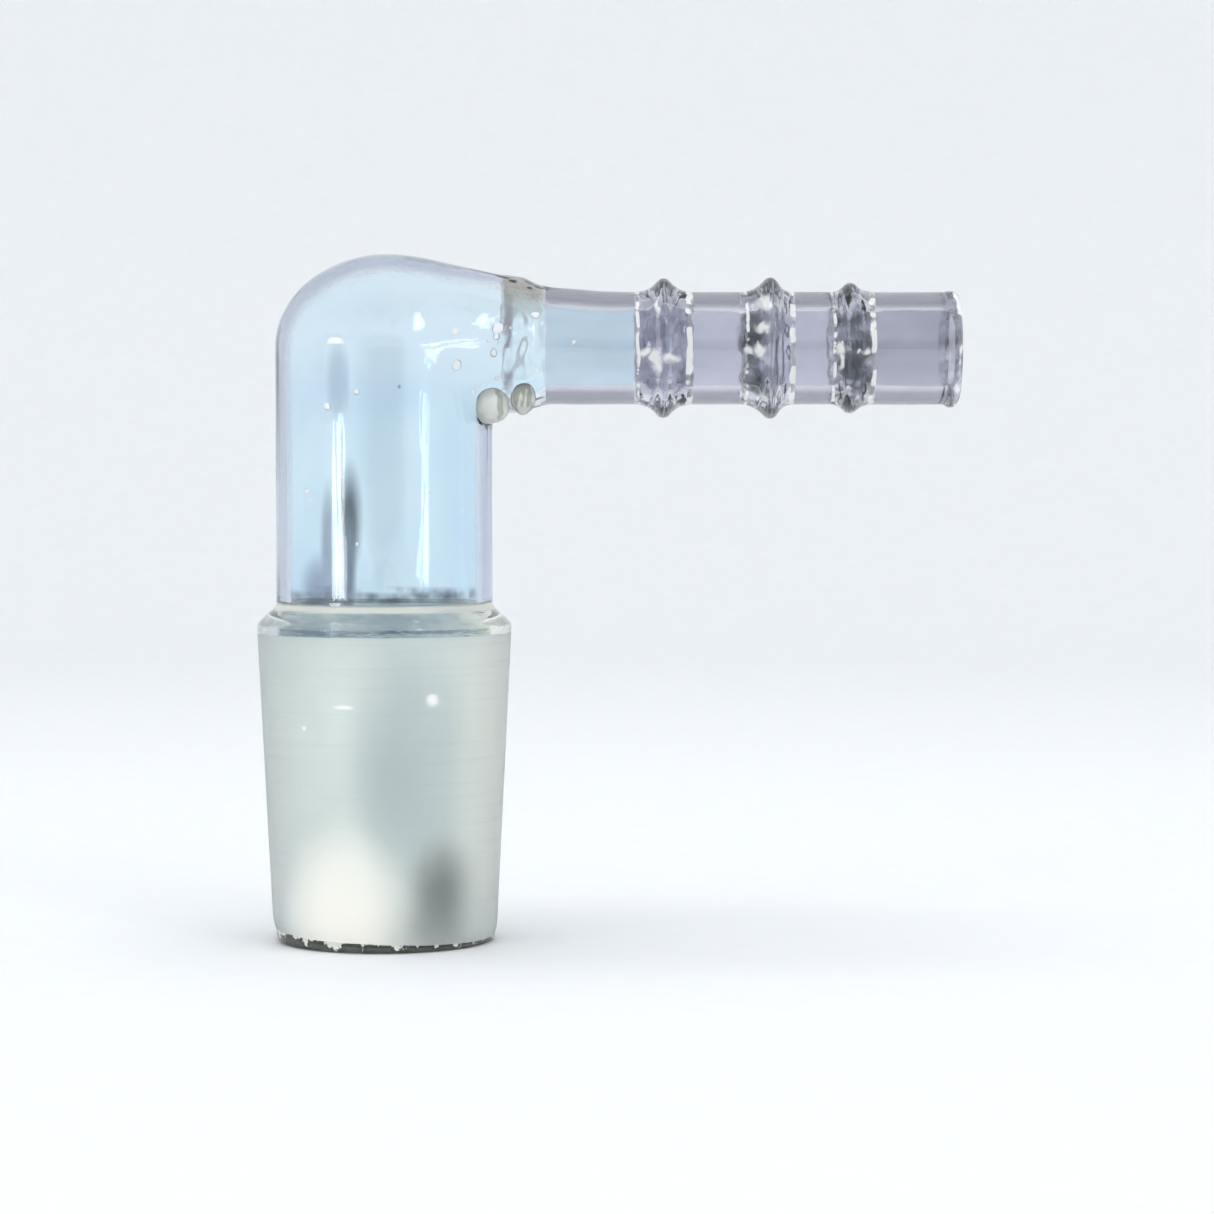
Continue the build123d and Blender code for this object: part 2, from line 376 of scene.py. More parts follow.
def ridge_runs(number):
    """One hose ridge, with the shallow groove that pushing the soft tube together leaves inside."""
    start_x, end_x, crest_r = RIDGES[number]
    crest_x = start_x + (end_x - start_x) * CREST_SHARE[number]
    outside, inside = [], []
    for x in np.linspace(start_x, end_x, 29)[1:]:
        reach = crest_x - start_x if x < crest_x else end_x - crest_x
        rise = ridge_height(abs(x - crest_x), crest_r - ARM_R, reach)
        groove = GROOVE_DEPTH[number] * math.exp(-(((x - crest_x) / (GROOVE_SHARE * reach)) ** 2))
        outside.append(arm_ring(x, ARM_R + rise))
        inside.append(arm_ring(x, ARM_R - ARM_WALL + groove))
    return outside, inside


def plain_arm_runs(start_x, end_x):
    stations = np.linspace(start_x, end_x, max(4, round((end_x - start_x) / 0.35)))[1:]
    outside = [arm_ring(x, ARM_R) for x in stations]
    inside = [arm_ring(x, ARM_R - ARM_WALL) for x in stations]
    return outside, inside


def lip_runs():
    """Open end, melted round: a slight flare, heavier underneath, and a soft mouth."""
    flare = LIP_FLARE + LIP_SAG * np.clip(np.cos(ANGLES), 0, 1) ** 2
    start = lip_low[0]
    flare_steps = (0.15, 0.3, 0.45, 0.6)
    outside = []
    for t in flare_steps:
        outside.append(arm_ring(start + t, ARM_R + flare * smooth_step(0, 0.45, t)))
    round_r = TIP_X - start - flare_steps[-1]
    for a in np.linspace(0, 90, 9)[1:]:
        r = ARM_R + flare - round_r * (1 - math.cos(math.radians(a)))
        outside.append(arm_ring(TIP_X - round_r + round_r * math.sin(math.radians(a)), r))
    bore, mouth_x = ARM_R - ARM_WALL, TIP_X - LIP_MOUTH_ROUND
    inside = [arm_ring(x, bore) for x in np.linspace(start, mouth_x, 4)[1:]]
    for a in np.linspace(0, 80, 7)[1:]:
        lift = LIP_MOUTH_ROUND * (1 - math.cos(math.radians(a)))
        inside.append(arm_ring(mouth_x + LIP_MOUTH_ROUND * math.sin(math.radians(a)), bore + lift))
    return outside, inside


def all_runs():
    """Every named stretch in order along the glass, as outer and inner loops."""
    cone_out, cone_in = cone_runs()
    runs = [("cone_rim", rim_outside(), rim_inside()), ("ground_cone", cone_out, cone_in)]
    runs.append(("cone_shoulder", *shoulder_runs()))
    runs.append(("body_tube", *tube_runs()))
    runs.append(("elbow_bend", *bend_runs()))
    runs.append(("arm_seal", *horn_runs(seal_low[0], seal_high[0], 0.1)))
    runs.append(("arm_root", *horn_runs(seal_high[0], RIDGES[0][0], 0.35)))
    for number in range(3):
        runs.append((f"hose_ridge_{number + 1}", *ridge_runs(number)))
        if number < 2:
            span = plain_arm_runs(RIDGES[number][1], RIDGES[number + 1][0])
            runs.append((f"arm_span_{number + 1}", *span))
    runs.append(("arm_tip", *plain_arm_runs(RIDGES[2][1], lip_low[0])))
    runs.append(("tip_lip", *lip_runs()))
    return runs


def near(value, low, high, soft):
    """1 inside a range, fading to 0 over a soft distance outside it."""
    return smooth_step(low - soft, low, value) * (1 - smooth_step(high, high + soft, value))


# How far the glass strays in the body, the weld and the ridges: outer skin, then bore.
STRAY = {False: (0.03, 0.05, 0.03), True: (0.05, 0.09, 0.075)}
WORKED_BODY_Z = (26, 60)
WORKED_WELD_X = (8.9, 11.6)


def hand_work(p, inner):
    """How far the flame and the hand moved the skin at a point, in millimetres."""
    x, y, z = p
    if inner:
        # the bore strays on its own, not as a copy of the outside
        p = (x + 31.0, y, z)
    in_body, in_weld, in_ridge = STRAY[inner]
    on_arm = smooth_step(36, 38, z)
    move = in_body * near(z, *WORKED_BODY_Z, 3) * noise.noise(Vector(p) / 6.0)
    move += in_weld * near(x, *WORKED_WELD_X, 0.7) * on_arm * noise.noise(Vector(p) / 0.9)
    for start_x, end_x, _ in RIDGES:
        worked = near(x, start_x + 0.2, end_x - 0.2, 0.5) * on_arm
        move += in_ridge * worked * noise.noise(Vector(p) / 0.8)
    return move


def stacked_loops():
    """The whole skin as one closed stack of loops: up and along the outside, back down the bore."""
    outside, inside, spans = [], [], {}
    for name, out_rings, in_rings in all_runs():
        out_start, in_start = max(len(outside) - 1, 0), max(len(inside) - 1, 0)
        outside += out_rings
        inside += in_rings
        spans[name] = (out_start, len(outside) - 1, in_start, len(inside) - 1)
    loops = np.array(outside + inside[::-1])
    return loops, len(outside), spans


def loop_normals(loops):
    """Outward direction at every point, the even mean of the four faces that meet there."""
    along = np.roll(loops, -1, axis=0) - loops
    around = np.roll(loops, -1, axis=1) - loops
    around_next = np.roll(around, -1, axis=0)
    face = np.cross(around + around_next, along + np.roll(along, -1, axis=1))
    face /= np.maximum(np.linalg.norm(face, axis=2, keepdims=True), 1e-12)
    total = face + np.roll(face, 1, axis=1) + np.roll(face, 1, axis=0)
    total += np.roll(np.roll(face, 1, axis=0), 1, axis=1)
    return total / np.maximum(np.linalg.norm(total, axis=2, keepdims=True), 1e-12)


loops, outer_count, spans = stacked_loops()
moves = np.array(
    [[hand_work(p, i >= outer_count) for p in loop] for i, loop in enumerate(loops)]
)
loops = loops + loop_normals(loops) * moves[..., None]
normals = loop_normals(loops)


def ring_faces(first, second):
    """Quads between two loops of vertices, given the first vertex of each."""
    for j in range(AROUND):
        k = (j + 1) % AROUND
        yield (first + j, first + k, second + k, second + j)


def join_piece(name, mesh):
    """Put a mesh in the scene as a piece of the glass."""
    piece = bpy.data.objects.new(name, mesh)
    bpy.context.scene.collection.objects.link(piece)
    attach(piece, "root")
    return piece


OUTSIDE, BORE, SEAM = 0, 1, 2


def glass_piece(name, node, outer_finish, inner_finish):
    """One stretch of the glass as its own closed piece, riding where its CAD node is."""
    out_a, out_b, in_a, in_b = spans[node]
    last = len(loops) - 1
    picks = list(range(out_a, out_b + 1)) + [last - j for j in range(in_b, in_a - 1, -1)]
    outs = out_b - out_a + 1
    points = loops[picks].reshape(-1, 3) * MM
    faces, finish = [], []
    for i in range(len(picks)):
        n = (i + 1) % len(picks)
        if i < outs - 1:
            kind = OUTSIDE
        elif i == outs - 1:
            kind = OUTSIDE if node == "tip_lip" else SEAM
        elif i < len(picks) - 1:
            kind = BORE
        else:
            kind = BORE if node == "cone_rim" else SEAM
        for face in ring_faces(i * AROUND, n * AROUND):
            faces.append(face)
            finish.append(kind)
    mesh = bpy.data.meshes.new(name)
    mesh.from_pydata(points.tolist(), [], faces)
    for material in (outer_finish, inner_finish, fused_seam):
        mesh.materials.append(material)
    mesh.polygons.foreach_set("material_index", finish)
    mesh.polygons.foreach_set("use_smooth", [True] * len(faces))
    mesh.normals_split_custom_set_from_vertices(normals[picks].reshape(-1, 3).tolist())
    piece = join_piece(name, mesh)
    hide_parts(node)


# ---------------------------------------------------------------- materials

FREE = 1e4               # half size of a spot along an axis where it has no edge
GLASS_IOR = 1.473        # borosilicate


def linear(hex_colour):
    """sRGB hex to a linear colour with full alpha."""
    channels = [int(hex_colour[i:i + 2], 16) / 255 for i in (1, 3, 5)]
    return [c / 12.92 if c <= 0.04045 else ((c + 0.055) / 1.055) ** 2.4 for c in channels] + [1.0]


def add(tree, kind, settings=None, links=None, out=None):
    """Add one node with its settings and links. Gives the node, or one of its outputs."""
    made = tree.nodes.new(kind)
    for key, value in (settings or {}).items():
        if isinstance(key, str) and hasattr(made, key):
            setattr(made, key, value)
        else:
            made.inputs[key].default_value = value
    for key, source in (links or {}).items():
        tree.links.new(source, made.inputs[key])
    if out is None:
        return made
    return made.outputs[out]


def new_material(name):
    material = bpy.data.materials.new(name)
    material.use_nodes = True
    material.node_tree.nodes.clear()
    return material, material.node_tree


def object_mm(tree):
    """Place on the object in millimetres."""
    place = add(tree, "ShaderNodeTexCoord", out="Object")
    return add(tree, "ShaderNodeVectorMath", {"operation": "SCALE", "Scale": 1 / MM},
               {"Vector": place}, "Vector")


def grain(tree, place, per_mm, detail=3.0, rough=0.55):
    """Noise from 0 to 1 at so many cells per millimetre on X, Y and Z."""
    at = add(tree, "ShaderNodeMapping", {"Scale": per_mm}, {"Vector": place}, "Vector")
    return add(tree, "ShaderNodeTexNoise", {"Scale": 1.0, "Detail": detail, "Roughness": rough},
               {"Vector": at}, "Fac")


def patches(tree, place, per_mm, start, full, detail=3.0):
    """Soft patches: 0 where the grain is under start, 1 where it is over full."""
    return add(tree, "ShaderNodeMapRange",
               {"interpolation_type": "SMOOTHSTEP", "From Min": start, "From Max": full},
               {"Value": grain(tree, place, per_mm, detail)}, "Result")


def spot(tree, place, centre, half):
    """1 at the centre of an oval spot, fading to 0 at its edge; an axis can be left FREE."""
    shift = [-c / h for c, h in zip(centre, half)]
    at = add(tree, "ShaderNodeMapping", {"Location": shift, "Scale": [1 / h for h in half]},
             {"Vector": place}, "Vector")
    square = add(tree, "ShaderNodeVectorMath", {"operation": "DOT_PRODUCT"}, {0: at, 1: at}, "Value")
    return add(tree, "ShaderNodeMapRange",
               {"interpolation_type": "SMOOTHSTEP", "To Min": 1.0, "To Max": 0.0},
               {"Value": square}, "Result")


def any_spot(tree, place, spots):
    """1 in the middle of each of several spots, given as centre and half size."""
    marks = spot(tree, place, *spots[0])
    for centre, half in spots[1:]:
        mark = spot(tree, place, centre, half)
        marks = add(tree, "ShaderNodeMath", {"operation": "MAXIMUM"}, {0: marks, 1: mark}, "Value")
    return marks


def ragged(tree, place, aside, per_mm):
    """Place pushed aside by the grain, so that a mark drawn on it gets an uneven outline."""
    push = add(tree, "ShaderNodeVectorMath", {"operation": "SCALE", 0: aside},
               {"Scale": grain(tree, place, per_mm, 1.0)}, "Vector")
    return add(tree, "ShaderNodeVectorMath", {"operation": "ADD"}, {0: place, 1: push}, "Vector")


def broken_line(tree, place, at_x, half, cells):
    """1 along a beaded, wandering line round the arm, 0 off it and in its gaps."""
    wander = ragged(tree, place, (2.2 * half, 0, 0), (0.3, 0.7, 0.7))
    line = spot(tree, wander, (at_x + 1.1 * half, 0, 0), (half, FREE, FREE))
    beads = patches(tree, place, (0.2, cells, cells), 0.36, 0.60, 2.0)
    both = add(tree, "ShaderNodeMath", {"operation": "MULTIPLY"}, {0: line, 1: beads}, "Value")
    return add(tree, "ShaderNodeMapRange",
               {"interpolation_type": "SMOOTHSTEP", "From Min": 0.15, "From Max": 0.6},
               {"Value": both}, "Result")


def clouded(tree, place, pale, deep, per_mm, start=0.3, full=0.7, detail=2.0):
    """Two close shades of one glass that drift into each other in soft patches."""
    return add(tree, "ShaderNodeMix", {"data_type": "RGBA", 6: linear(pale), 7: linear(deep)},
               {"Factor": patches(tree, place, per_mm, start, full, detail)}, 2)


def stain(tree, colour, shade, *masks):
    """Lay a shade over a colour where all of the masks are 1."""
    where = masks[0]
    for mask in masks[1:]:
        where = add(tree, "ShaderNodeMath", {"operation": "MULTIPLY"}, {0: where, 1: mask}, "Value")
    return add(tree, "ShaderNodeMix", {"data_type": "RGBA", 7: linear(shade)},
               {"Factor": where, 6: colour}, 2)


def thick_edge(tree, colour, shade, start, full):
    """Tint where the wall is looked along instead of through, as thick glass shows."""
    turned = add(tree, "ShaderNodeLayerWeight", {"Blend": 0.5}, out="Facing")
    along = add(tree, "ShaderNodeMapRange",
                {"interpolation_type": "SMOOTHSTEP", "From Min": start, "From Max": full},
                {"Value": turned}, "Result")
    return stain(tree, colour, shade, along)


def melt(tree, colour, relief, depth_mm, milk=None, milk_share=0.0, roughness=0.0):
    """Finish a borosilicate glass: clear all through, or less clear by a share where milk is 1; that mask
    is milky glass on the drops, the rim's chips and the shoulder's join, and painted highlights on the
    ridges and the lip.
    """
    bump = add(tree, "ShaderNodeBump", {"Distance": depth_mm * MM}, {"Height": relief}, "Normal")
    glass = add(tree, "ShaderNodeBsdfPrincipled",
                {"Transmission Weight": 1.0, "IOR": GLASS_IOR, "Roughness": roughness, "Metallic": 0.0},
                {"Base Color": colour, "Normal": bump})
    if milk is not None:
        clear = add(tree, "ShaderNodeMath", {"operation": "MULTIPLY_ADD", 1: -milk_share, 2: 1.0},
                    {0: milk}, "Value")
        tree.links.new(clear, glass.inputs["Transmission Weight"])
    add(tree, "ShaderNodeOutputMaterial", links={"Surface": glass.outputs["BSDF"]})


def drawn_glass(name, pale, deep, lines, patch_mm, edge=None):
    """Drawn borosilicate tube: clear, with faint draw lines along it and soft tint patches.

    lines is cells per millimetre on X, Y and Z; edge is the tint of the thick rim of the wall
    and how far round the tube it starts and is full.
    """
    material, tree = new_material(name)
    place = object_mm(tree)
    colour = clouded(tree, place, pale, deep, (1 / patch_mm,) * 3)
    if edge:
        colour = thick_edge(tree, colour, *edge)
    melt(tree, colour, grain(tree, place, lines), 0.012)
    return material


def body_bore():
    """Drawn borosilicate bore of the body: blue-white, with painted light over the dome top, painted dark
    reflections as grey smudges on its front, and a broken dark band near the tube's lower end.
    """
    material, tree = new_material("drawn_borosilicate_body_bore")
    place = object_mm(tree)
    colour = clouded(tree, place, "#EDFDFF", "#DBF0FB", (0.08, 0.08, 0.08))
    # painted light: the bore lighter over the dome top
    colour = stain(tree, colour, "#F4FEFF", spot(tree, place, (0, 0, 47.5), (FREE, FREE, 8.0)))
    # painted dark reflections: grey smudges on the front of the bore
    for centre, half, shade in BORE_DARK_REFLECTIONS:
        colour = stain(tree, colour, shade, spot(tree, place, centre, half))
    # a broken dark band round the bore just above the tube's lower end
    low_dark_band = spot(tree, place, (0, 0, tube_low[2] + 0.5), (FREE, FREE, 0.65))
    colour = stain(tree, colour, "#56606C", low_dark_band, patches(tree, place, (0.3, 0.3, 0.3), 0.35, 0.6))
    melt(tree, colour, grain(tree, place, UP_LINES), 0.016)
    return material


def shoulder_skin(name, pale, deep):
    """Flamed borosilicate shoulder: greyer than the tube, with painted light on its right side and a milky
    line where the two join.
    """
    material, tree = new_material(name)
    place = object_mm(tree)
    colour = clouded(tree, place, pale, deep, (0.22, 0.22, 0.6), 0.35, 0.65, 3.0)
    # painted light: the right side lighter and warmer
    colour = stain(tree, colour, "#FFFFF4", spot(tree, place, (8.4, -2.5, 25.2), (4.6, 7.0, 4.0)))
    join = spot(tree, place, (0, 0, tube_low[2] - 0.25), (FREE, FREE, 0.34))
    colour = stain(tree, colour, "#F4F4E9", join)
    melt(tree, colour, grain(tree, place, (0.3, 0.3, 1.4)), 0.03, join, 0.6)
    return material


def pushed_glass(name, start_x, end_x, painted_shade, line_in, glint_marks):
    """Borosilicate tube pushed together soft, with painted shade in dark patches and painted highlights:
    broken bright lines at the feet and bright marks on the front.

    painted_shade is the shade of the dark patches and the shares of the ridge's length where they start and
    end; line_in is how far in from each foot its bright line runs; glint_marks are the painted highlights
    on the front, each a place along the arm and height, then half length and half height.
    """
    material, tree = new_material(name)
    place = object_mm(tree)
    shade, from_share, to_share = painted_shade
    length = end_x - start_x
    middle = start_x + length * (from_share + to_share) / 2
    # a spot has faded by half at 0.7 of its half size
    band = spot(tree, place, (middle, 0, 0), (length * (to_share - from_share) / 2 / 0.7, FREE, FREE))
    colour = clouded(tree, place, "#E8E7EF", "#C9CAD6", (0.4, 0.4, 0.4), 0.36, 0.64)
    # painted shade: dark patches over most of the ridge's length
    colour = stain(tree, colour, shade, band, patches(tree, place, (0.3, 0.5, 0.5), 0.42, 0.58, 2.0))
    # painted highlights: broken bright lines near the feet and bright marks on the front, made less clear
    # as well
    foot_line = broken_line(tree, place, start_x + line_in[0], 0.16, 1.1)
    tip_line = broken_line(tree, place, end_x - line_in[1], 0.3, 0.7)
    lines = add(tree, "ShaderNodeMath", {"operation": "MAXIMUM"}, {0: foot_line, 1: tip_line}, "Value")
    crumpled = ragged(tree, place, (1.0, 0, -1.0), (1.1, 1.1, 1.1))
    spots = [((x + 0.5, -4.6, z - 0.5), (long, 2.6, high)) for x, z, long, high in glint_marks]
    marks = any_spot(tree, crumpled, spots)
    bright = add(tree, "ShaderNodeMath", {"operation": "MAXIMUM"}, {0: lines, 1: marks}, "Value")
    colour = stain(tree, colour, "#FFFFFA", bright)
    melt(tree, colour, grain(tree, place, (0.4, 0.4, 0.4), 2.0), 0.02, bright, 0.65)
    return material


def lip_glass():
    """Fire-polished borosilicate end, with a painted highlight: a broken bright line along the melted edge.
    """
    material, tree = new_material("fire_polished_borosilicate_lip")
    place = object_mm(tree)
    colour = clouded(tree, place, "#DCDCE6", "#A6A7B4", (0.6, 0.5, 0.5), 0.35, 0.6)
    # painted highlight: a broken bright line near the end, made less clear as well
    bright = broken_line(tree, place, TIP_X - 0.28, 0.3, 0.35)
    colour = stain(tree, colour, "#FFFFFA", bright)
    melt(tree, colour, grain(tree, place, (0.6, 0.5, 0.5), 2.0), 0.02, bright, 0.75)
    return material


def welded_glass():
    """Flame-welded borosilicate: clear in front, grey-brown and wrinkled along its crown."""
    material, tree = new_material("flame_welded_borosilicate")
    place = object_mm(tree)
    wrinkles = (0.9, 0.45, 0.45)
    colour = clouded(tree, place, "#F0F8FE", "#E4EEF7", wrinkles, 0.38, 0.62, 4.0)
    fold = spot(tree, place, (9.35, 0, 0), (0.42, FREE, FREE))
    colour = stain(tree, colour, "#A49CA6", fold, patches(tree, place, (0.2, 0.3, 0.3), 0.4, 0.55, 2.0))
    crown = spot(tree, place, (0, 0, 50.3), (FREE, FREE, 4.4))
    colour = stain(tree, colour, "#B0ABA2", crown)
    colour = thick_edge(tree, colour, "#BCB9B4", 0.42, 0.8)
    melt(tree, colour, grain(tree, place, wrinkles, 4.0), 0.02)
    return material


def drop_glass(name, milk, streak, outline, milkiness):
    """Spare weld borosilicate, devitrified: milky, streaked, with a darker outline."""
    material, tree = new_material(name)
    place = object_mm(tree)
    colour = clouded(tree, place, milk, streak, (1.5, 0.6, 0.35), 0.50, 0.60)
    colour = thick_edge(tree, colour, outline, 0.45, 0.9)
    milk_all_through = patches(tree, place, (0.3, 0.3, 0.3), 0.0, 0.2)
    streaks = grain(tree, place, (1.5, 0.6, 0.35), 2.0)
    melt(tree, colour, streaks, 0.018, milk_all_through, milkiness, 0.12)
    return material


# Whiter, less clear spots on the front of the cone: centre, half size.
WHITE_SPOTS = [
    ((3.95, -8.1, 18.4), (0.6, 2.0, 0.6)),
    ((-5.35, -7.2, 16.3), (0.24, 2.0, 0.26)),
    ((-2.3, -8.6, 17.9), (1.0, 2.0, 0.22)),
]


def ground_glass():
    """Ground borosilicate: carborundum grit leaves it translucent white, with turning marks and whiter
    spots on the front; painted light makes its right side and a pool low on its front left lighter.
    """
    material, tree = new_material("ground_borosilicate")
    place = object_mm(tree)
    colour = clouded(tree, place, "#F8FFFB", "#ECF4F0", (0.2, 0.2, 0.12), 0.3, 0.7, 3.0)
    # painted light: the right side of the cone lighter and warmer
    colour = stain(tree, colour, "#FEFFF7", spot(tree, place, (9.5, -3.0, 13.0), (6.5, 9.0, 17.0)))
    colour = stain(tree, colour, "#EEF4F1", patches(tree, place, (0.06, 0.06, 2.6), 0.5, 0.75, 5.0))
    white_spots = any_spot(tree, place, WHITE_SPOTS)
    # painted light: a bright pool low on the front left, made less clear as well
    foot = spot(tree, place, (-2.7, -8.5, 2.4), (5.8, 9.0, 8.2))
    colour = stain(tree, colour, "#FFFDF2", foot)
    colour = stain(tree, colour, "#FFFFFA", white_spots)
    pool_and_spots = add(tree, "ShaderNodeMath", {"operation": "MAXIMUM"}, {0: foot, 1: white_spots}, "Value")
    clear = add(tree, "ShaderNodeMath", {"operation": "MULTIPLY_ADD", 1: -0.75, 2: 0.8},
                {0: pool_and_spots}, "Value")
    # the grit is 0.03 mm on the real cone, drawn five times coarser so that it shows
    grit = grain(tree, place, (6.0, 6.0, 6.0), 4.0, 0.7)
    turned = grain(tree, place, (0.06, 0.06, 2.6), 5.0, 0.6)
    relief = add(tree, "ShaderNodeMath", {"operation": "MULTIPLY_ADD", 1: 0.6},
                 {0: turned, 2: grit}, "Value")
    bump = add(tree, "ShaderNodeBump", {"Strength": 0.5, "Distance": 0.02 * MM},
               {"Height": relief}, "Normal")
    glass = add(tree, "ShaderNodeBsdfPrincipled", {"IOR": GLASS_IOR, "Roughness": 0.46, "Metallic": 0.0},
                {"Base Color": colour, "Normal": bump, "Transmission Weight": clear}, "BSDF")
    add(tree, "ShaderNodeOutputMaterial", links={"Surface": glass})
    return material


def cone_bore():
    """Smooth borosilicate bore of the cone, with painted dark reflections seen through the frost: a grey
    patch in the middle and a near-black one low on the right.
    """
    material, tree = new_material("cone_bore_borosilicate")
    place = object_mm(tree)
    colour = clouded(tree, place, "#FDFFFA", "#ECF1EC", (0.12, 0.12, 0.07))
    # painted dark reflections, seen blurred through the frost
    colour = stain(tree, colour, "#A6AEBA", spot(tree, place, (2.1, -7.5, 14.0), (5.0, 9.0, 11.0)))
    colour = stain(tree, colour, "#0C100E", spot(tree, place, (4.3, -6.5, 4.2), (3.0, 7.0, 5.4)))
    melt(tree, colour, grain(tree, place, (0.12, 0.12, 0.07)), 0.012)
    return material


def rim_finish():
    """Fire-polished borosilicate foot: clear glass coloured near black as a painted dark refraction, with
    white chips where the grinding stopped.
    """
    material, tree = new_material("fire_polished_borosilicate_rim")
    place = object_mm(tree)
    height = add(tree, "ShaderNodeSeparateXYZ", links={"Vector": place}, out="Z")
    chipping = grain(tree, place, (1.1, 1.1, 0.5), 3.0, 0.7)
    # the grain shifts the line up and down by up to 1.7 mm, and the cut keeps only its peaks
    line = add(tree, "ShaderNodeMath", {"operation": "MULTIPLY_ADD", 1: 3.4},
               {0: chipping, 2: height}, "Value")
    chips = add(tree, "ShaderNodeMapRange",
                {"interpolation_type": "SMOOTHSTEP", "From Min": 2.31, "From Max": 2.43},
                {"Value": line}, "Result")
    # painted dark refraction: the clear foot coloured near black
    colour = clouded(tree, place, "#2E2D28", "#181713", (1.1, 1.1, 0.5), 0.35, 0.6, 3.0)
    colour = stain(tree, colour, "#FDFDF6", chips)
    melt(tree, colour, chipping, 0.04, chips, 0.7)
    return material


def seam():
    """The buried face where two stretches are fused: nothing to see, so light runs through."""
    material, tree = new_material("fused_seam")
    through = add(tree, "ShaderNodeBsdfTransparent", {"Color": (1, 1, 1, 1)}, out="BSDF")
    add(tree, "ShaderNodeOutputMaterial", links={"Surface": through})
    return material


def speck_white():
    """Air trapped in borosilicate: the flat bubble throws the light back silver-white."""
    # Silver-white finish of the painted highlight specks, flat blisters in the borosilicate.
    material, tree = new_material("trapped_air_in_borosilicate")
    place = object_mm(tree)
    colour = clouded(tree, place, "#FFFFFF", "#F6FBFF", (2.0, 2.0, 2.0))
    skin = add(tree, "ShaderNodeBsdfPrincipled",
               {"Roughness": 0.35, "IOR": GLASS_IOR, "Transmission Weight": 0.15, "Metallic": 0.0},
               {"Base Color": colour}, "BSDF")
    add(tree, "ShaderNodeOutputMaterial", links={"Surface": skin})
    return material


UP_LINES = (0.9, 0.9, 0.03)
ARM_LINES = (0.05, 1.0, 1.0)
# Painted dark reflections on the front of the body's bore, as grey smudges: centre, half size and shade,
# bottom to top.
BORE_DARK_REFLECTIONS = [
    ((-1.95, -6.7, 31.4), (1.05, 7.0, 4.9), "#1C2329"),
    ((-2.05, -6.7, 27.6), (0.7, 7.0, 5.2), "#46505B"),
    ((-3.45, -6.1, 29.6), (0.7, 7.0, 5.2), "#7A8593"),
    ((-4.1, -5.6, 26.0), (1.7, 7.0, 3.4), "#7E859A"),
    ((-2.75, -6.4, 41.4), (1.0, 7.0, 3.6), "#A9BDCA"),
]
BODY_EDGE = ("#A9B2C8", 0.42, 0.62)
ARM_EDGE = ("#74747E", 0.2, 0.42)

fused_seam = seam()
body_glass = drawn_glass("drawn_borosilicate_body", "#F2F9FF", "#E9F2FC", UP_LINES, 12, BODY_EDGE)
bore_glass = body_bore()
arm_glass = drawn_glass("drawn_borosilicate_arm", "#E4E4ED", "#DCDCE6", ARM_LINES, 5, ARM_EDGE)
root_bore = drawn_glass("drawn_borosilicate_root_bore", "#E4FAFD", "#DDF2F8", ARM_LINES, 6)
arm_bore = drawn_glass("drawn_borosilicate_arm_bore", "#DDDEE6", "#D2D3DC", ARM_LINES, 6)
tip_bore = drawn_glass("drawn_borosilicate_tip_bore", "#CACBD2", "#BDBEC6", ARM_LINES, 6)
shoulder_out = shoulder_skin("flamed_borosilicate_shoulder", "#E8EDEA", "#CDD7DA")
shoulder_in = shoulder_skin("flamed_borosilicate_shoulder_bore", "#B6C3CA", "#7F90A0")
weld_glass = welded_glass()
milky_drop = drop_glass("devitrified_borosilicate_drop", "#FFFFF6", "#C3C5B8", "#DCDED2", 0.55)
clear_drop = drop_glass("streaked_borosilicate_drop", "#FFFFF4", "#BDBFB2", "#84867B", 0.55)
rim_glass = rim_finish()
frost = ground_glass()
frost_bore = cone_bore()
speck_finish = speck_white()

glass_piece("rim_glass", "cone_rim", rim_glass, frost_bore)
glass_piece("frosted_cone", "ground_cone", frost, frost_bore)
glass_piece("shoulder_glass", "cone_shoulder", shoulder_out, shoulder_in)
glass_piece("tube_glass", "body_tube", body_glass, bore_glass)
glass_piece("bend_glass", "elbow_bend", body_glass, bore_glass)
glass_piece("weld_ring", "arm_seal", weld_glass, bore_glass)
glass_piece("arm_root_glass", "arm_root", arm_glass, root_bore)
# Each ridge's painted shade, how far in its painted highlight lines run from the feet, and its painted
# glint marks.
RIDGE_FINISH = [
    {"painted_shade": ("#AAAAB8", 0.1, 0.95), "line_in": (0.25, 0.3), "glint_marks": [
        (19.2, 43.5, 0.85, 0.6), (20.1, 42.9, 0.45, 1.2), (21.1, 43.0, 0.95, 0.5), (20.1, 47.0, 0.3, 0.8)]},
    {"painted_shade": ("#6E7278", 0.08, 0.6), "line_in": (0.45, 0.2), "glint_marks": [
        (27.7, 45.3, 0.8, 0.6), (27.6, 43.6, 0.65, 0.65), (26.8, 43.6, 0.45, 0.45),
        (26.9, 40.3, 0.45, 0.7), (27.8, 40.0, 0.8, 1.0), (28.0, 47.2, 0.7, 0.9)]},
    {"painted_shade": ("#686C72", 0.05, 0.95), "line_in": (0.15, 0.2), "glint_marks": [
        (32.7, 43.7, 0.5, 0.48), (33.5, 43.7, 0.7, 0.52), (33.5, 42.9, 0.36, 1.1),
        (34.8, 43.5, 0.3, 0.3), (35.4, 43.5, 0.45, 0.4), (33.0, 40.7, 0.32, 0.32),
        (33.7, 40.6, 0.32, 0.32), (32.7, 40.1, 0.3, 0.3), (33.5, 39.6, 0.5, 0.6)]},
]
for i, (start_x, end_x, _) in enumerate(RIDGES):
    finish = pushed_glass(f"pushed_borosilicate_ridge_{i + 1}", start_x, end_x, **RIDGE_FINISH[i])
    glass_piece(f"ridge_{i + 1}_glass", f"hose_ridge_{i + 1}", finish, finish)
